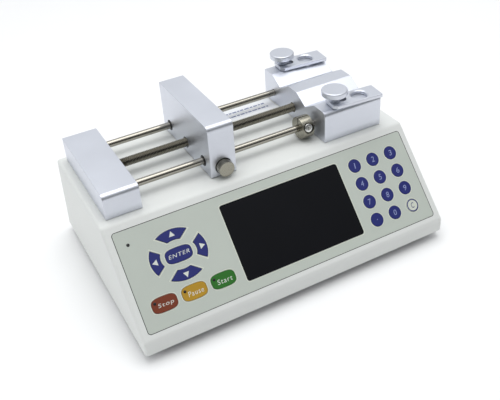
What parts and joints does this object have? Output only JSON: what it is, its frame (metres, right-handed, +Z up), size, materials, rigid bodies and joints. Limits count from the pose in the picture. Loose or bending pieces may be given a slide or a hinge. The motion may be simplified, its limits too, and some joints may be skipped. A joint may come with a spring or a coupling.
{
  "type": "syringe pump",
  "caption": "Bench-top syringe pump: sloped control panel with screen and keypad, lead-screw pusher on guide rods, and a grooved holder with swing clamps.",
  "frame": {"origin": "on the table, under the middle of the case", "axes": "+X along the lead screw from the pusher's rest end towards the syringe holder, +Y to the rear, +Z up"},
  "size_m": [0.28, 0.1932, 0.1335],
  "materials": {
    "case": "fine textured off-white coating",
    "overlay_film": "grey-green textured film",
    "display_glass": "dark tinted window, satin",
    "key_blue": "printed blue key",
    "key_pale": "pale key with a blue ring",
    "key_red": "brown-red key",
    "key_amber": "ochre key",
    "key_green": "green key",
    "blasted_aluminium": "bead-blasted and clear anodised",
    "polished_steel": "ground and polished",
    "dark_steel": "dark threaded steel",
    "stainless": "turned stainless steel",
    "brass": "machined",
    "black_plastic": "moulded",
    "black_rubber": "moulded",
    "sheet_steel": "plated sheet",
    "circuit_board": "solder mask"
  },
  "bodies": {
    "root": {"housing_shell": "case", "base_plate": "sheet_steel", "rear_panel": "sheet_steel", "foot_front_left": "black_rubber", "foot_front_right": "black_rubber", "foot_rear_left": "black_rubber", "foot_rear_right": "black_rubber", "end_block": "blasted_aluminium", "holder_block": "blasted_aluminium", "end_bearing": "polished_steel", "holder_bearing": "polished_steel", "guide_rod_front": "polished_steel", "guide_rod_rear": "polished_steel", "timing_belt": "black_rubber", "stepper_motor": "black_plastic", "motor_bracket": "sheet_steel", "keypad_overlay": "overlay_film", "display_window": "display_glass", "display_module": "sheet_steel", "keypad_board": "circuit_board", "main_board": "circuit_board", "power_supply": "sheet_steel", "power_inlet": "black_plastic", "data_connector": "sheet_steel"},
    "lead_screw_assembly": {"lead_screw": "dark_steel", "screw_pulley": "stainless"},
    "drive_pulley": {"motor_pulley": "stainless"},
    "pusher": {"pusher_block": "blasted_aluminium", "bush_front": "black_plastic", "bush_rear": "black_plastic", "release_spring": "polished_steel"},
    "release": {"release_button": "stainless", "half_nut": "brass"},
    "collar": {"stop_collar": "stainless"},
    "collar_screw": {"stop_collar_screw": "dark_steel"},
    "clamp_front": {"clamp_plate_front": "blasted_aluminium"},
    "clamp_rear": {"clamp_plate_rear": "blasted_aluminium"},
    "thumb_front": {"thumb_screw_front": "stainless"},
    "thumb_rear": {"thumb_screw_rear": "stainless"},
    "rocker": {"power_switch": "black_plastic"},
    "key_0_cap": {"key_0": "key_blue"},
    "key_1_cap": {"key_1": "key_blue"},
    "key_2_cap": {"key_2": "key_blue"},
    "key_3_cap": {"key_3": "key_blue"},
    "key_4_cap": {"key_4": "key_blue"},
    "key_5_cap": {"key_5": "key_blue"},
    "key_6_cap": {"key_6": "key_blue"},
    "key_7_cap": {"key_7": "key_blue"},
    "key_8_cap": {"key_8": "key_blue"},
    "key_9_cap": {"key_9": "key_blue"},
    "key_dot_cap": {"key_dot": "key_blue"},
    "key_clear_cap": {"key_clear": "key_pale"},
    "key_up_cap": {"key_up": "key_blue"},
    "key_down_cap": {"key_down": "key_blue"},
    "key_left_cap": {"key_left": "key_blue"},
    "key_right_cap": {"key_right": "key_blue"},
    "key_enter_cap": {"key_enter": "key_blue"},
    "key_stop_cap": {"key_stop": "key_red"},
    "key_pause_cap": {"key_pause": "key_amber"},
    "key_start_cap": {"key_start": "key_green"}
  },
  "joints": [
    {"name": "lead_screw_turn", "type": "hinge", "parent": "root", "child": "lead_screw_assembly", "pos_m": [0, 0.0268, 0.097], "axis": [1, 0, 0], "range_deg": [-17450, 19180]},
    {"name": "pusher_slide", "type": "slide", "parent": "root", "child": "pusher", "axis": [1, 0, 0], "range_m": [-0.0605, 0.0665]},
    {"name": "drive_pulley_turn", "type": "hinge", "parent": "root", "child": "drive_pulley", "pos_m": [-0.118, 0.0268, 0.057], "axis": [1, 0, 0], "range_deg": [-17450, 19180]},
    {"name": "release_press", "type": "slide", "parent": "pusher", "child": "release", "axis": [0, 1, 0], "range_m": [0, 0.0026], "stiffness_N_per_m": 600, "springref_m": -0.002, "deforming": ["release_spring"]},
    {"name": "stop_collar_slide", "type": "slide", "parent": "root", "child": "collar", "axis": [1, 0, 0], "range_m": [-0.066, 0.004]},
    {"name": "stop_collar_screw_turn", "type": "hinge", "parent": "collar", "child": "collar_screw", "pos_m": [0.055, -0.00695, 0.097], "axis": [0, -0.9511, 0.309], "range_deg": [0, 360]},
    {"name": "clamp_front_swing", "type": "hinge", "parent": "root", "child": "clamp_front", "pos_m": [0.08, -0.01675, 0.1152], "axis": [0, 0, 1], "range_deg": [0, 94.5]},
    {"name": "clamp_rear_swing", "type": "hinge", "parent": "root", "child": "clamp_rear", "pos_m": [0.08, 0.06945, 0.1152], "axis": [0, 0, 1], "range_deg": [-85.5, 0]},
    {"name": "thumb_front_turn", "type": "hinge", "parent": "root", "child": "thumb_front", "pos_m": [0.08, -0.01675, 0.12], "axis": [0, 0, 1], "range_deg": [0, 360]},
    {"name": "thumb_rear_turn", "type": "hinge", "parent": "root", "child": "thumb_rear", "pos_m": [0.08, 0.06945, 0.12], "axis": [0, 0, 1], "range_deg": [0, 360]},
    {"name": "power_rocker", "type": "hinge", "parent": "root", "child": "rocker", "pos_m": [-0.0755, 0.08986, 0.04564], "axis": [-1, 0, 0], "range_deg": [0, 15]},
    {"name": "key_0_press", "type": "slide", "parent": "root", "child": "key_0_cap", "axis": [0, 0.7189, -0.6951], "range_m": [0, 0.0005], "stiffness_N_per_m": 1500, "springref_m": -0.0003},
    {"name": "key_1_press", "type": "slide", "parent": "root", "child": "key_1_cap", "axis": [0, 0.7189, -0.6951], "range_m": [0, 0.0005], "stiffness_N_per_m": 1500, "springref_m": -0.0003},
    {"name": "key_2_press", "type": "slide", "parent": "root", "child": "key_2_cap", "axis": [0, 0.7189, -0.6951], "range_m": [0, 0.0005], "stiffness_N_per_m": 1500, "springref_m": -0.0003},
    {"name": "key_3_press", "type": "slide", "parent": "root", "child": "key_3_cap", "axis": [0, 0.7189, -0.6951], "range_m": [0, 0.0005], "stiffness_N_per_m": 1500, "springref_m": -0.0003},
    {"name": "key_4_press", "type": "slide", "parent": "root", "child": "key_4_cap", "axis": [0, 0.7189, -0.6951], "range_m": [0, 0.0005], "stiffness_N_per_m": 1500, "springref_m": -0.0003},
    {"name": "key_5_press", "type": "slide", "parent": "root", "child": "key_5_cap", "axis": [0, 0.7189, -0.6951], "range_m": [0, 0.0005], "stiffness_N_per_m": 1500, "springref_m": -0.0003},
    {"name": "key_6_press", "type": "slide", "parent": "root", "child": "key_6_cap", "axis": [0, 0.7189, -0.6951], "range_m": [0, 0.0005], "stiffness_N_per_m": 1500, "springref_m": -0.0003},
    {"name": "key_7_press", "type": "slide", "parent": "root", "child": "key_7_cap", "axis": [0, 0.7189, -0.6951], "range_m": [0, 0.0005], "stiffness_N_per_m": 1500, "springref_m": -0.0003},
    {"name": "key_8_press", "type": "slide", "parent": "root", "child": "key_8_cap", "axis": [0, 0.7189, -0.6951], "range_m": [0, 0.0005], "stiffness_N_per_m": 1500, "springref_m": -0.0003},
    {"name": "key_9_press", "type": "slide", "parent": "root", "child": "key_9_cap", "axis": [0, 0.7189, -0.6951], "range_m": [0, 0.0005], "stiffness_N_per_m": 1500, "springref_m": -0.0003},
    {"name": "key_dot_press", "type": "slide", "parent": "root", "child": "key_dot_cap", "axis": [0, 0.7189, -0.6951], "range_m": [0, 0.0005], "stiffness_N_per_m": 1500, "springref_m": -0.0003},
    {"name": "key_clear_press", "type": "slide", "parent": "root", "child": "key_clear_cap", "axis": [0, 0.7189, -0.6951], "range_m": [0, 0.0005], "stiffness_N_per_m": 1500, "springref_m": -0.0003},
    {"name": "key_up_press", "type": "slide", "parent": "root", "child": "key_up_cap", "axis": [0, 0.7189, -0.6951], "range_m": [0, 0.0005], "stiffness_N_per_m": 1500, "springref_m": -0.0003},
    {"name": "key_down_press", "type": "slide", "parent": "root", "child": "key_down_cap", "axis": [0, 0.7189, -0.6951], "range_m": [0, 0.0005], "stiffness_N_per_m": 1500, "springref_m": -0.0003},
    {"name": "key_left_press", "type": "slide", "parent": "root", "child": "key_left_cap", "axis": [0, 0.7189, -0.6951], "range_m": [0, 0.0005], "stiffness_N_per_m": 1500, "springref_m": -0.0003},
    {"name": "key_right_press", "type": "slide", "parent": "root", "child": "key_right_cap", "axis": [0, 0.7189, -0.6951], "range_m": [0, 0.0005], "stiffness_N_per_m": 1500, "springref_m": -0.0003},
    {"name": "key_enter_press", "type": "slide", "parent": "root", "child": "key_enter_cap", "axis": [0, 0.7189, -0.6951], "range_m": [0, 0.0005], "stiffness_N_per_m": 1500, "springref_m": -0.0003},
    {"name": "key_stop_press", "type": "slide", "parent": "root", "child": "key_stop_cap", "axis": [0, 0.7189, -0.6951], "range_m": [0, 0.0005], "stiffness_N_per_m": 1500, "springref_m": -0.0003},
    {"name": "key_pause_press", "type": "slide", "parent": "root", "child": "key_pause_cap", "axis": [0, 0.7189, -0.6951], "range_m": [0, 0.0005], "stiffness_N_per_m": 1500, "springref_m": -0.0003},
    {"name": "key_start_press", "type": "slide", "parent": "root", "child": "key_start_cap", "axis": [0, 0.7189, -0.6951], "range_m": [0, 0.0005], "stiffness_N_per_m": 1500, "springref_m": -0.0003}
  ],
  "couplings": [
    {"joint": "lead_screw_turn", "follows": "pusher_slide", "rad_per_m": 5026.5},
    {"joint": "drive_pulley_turn", "follows": "pusher_slide", "rad_per_m": 5026.5}
  ]
}
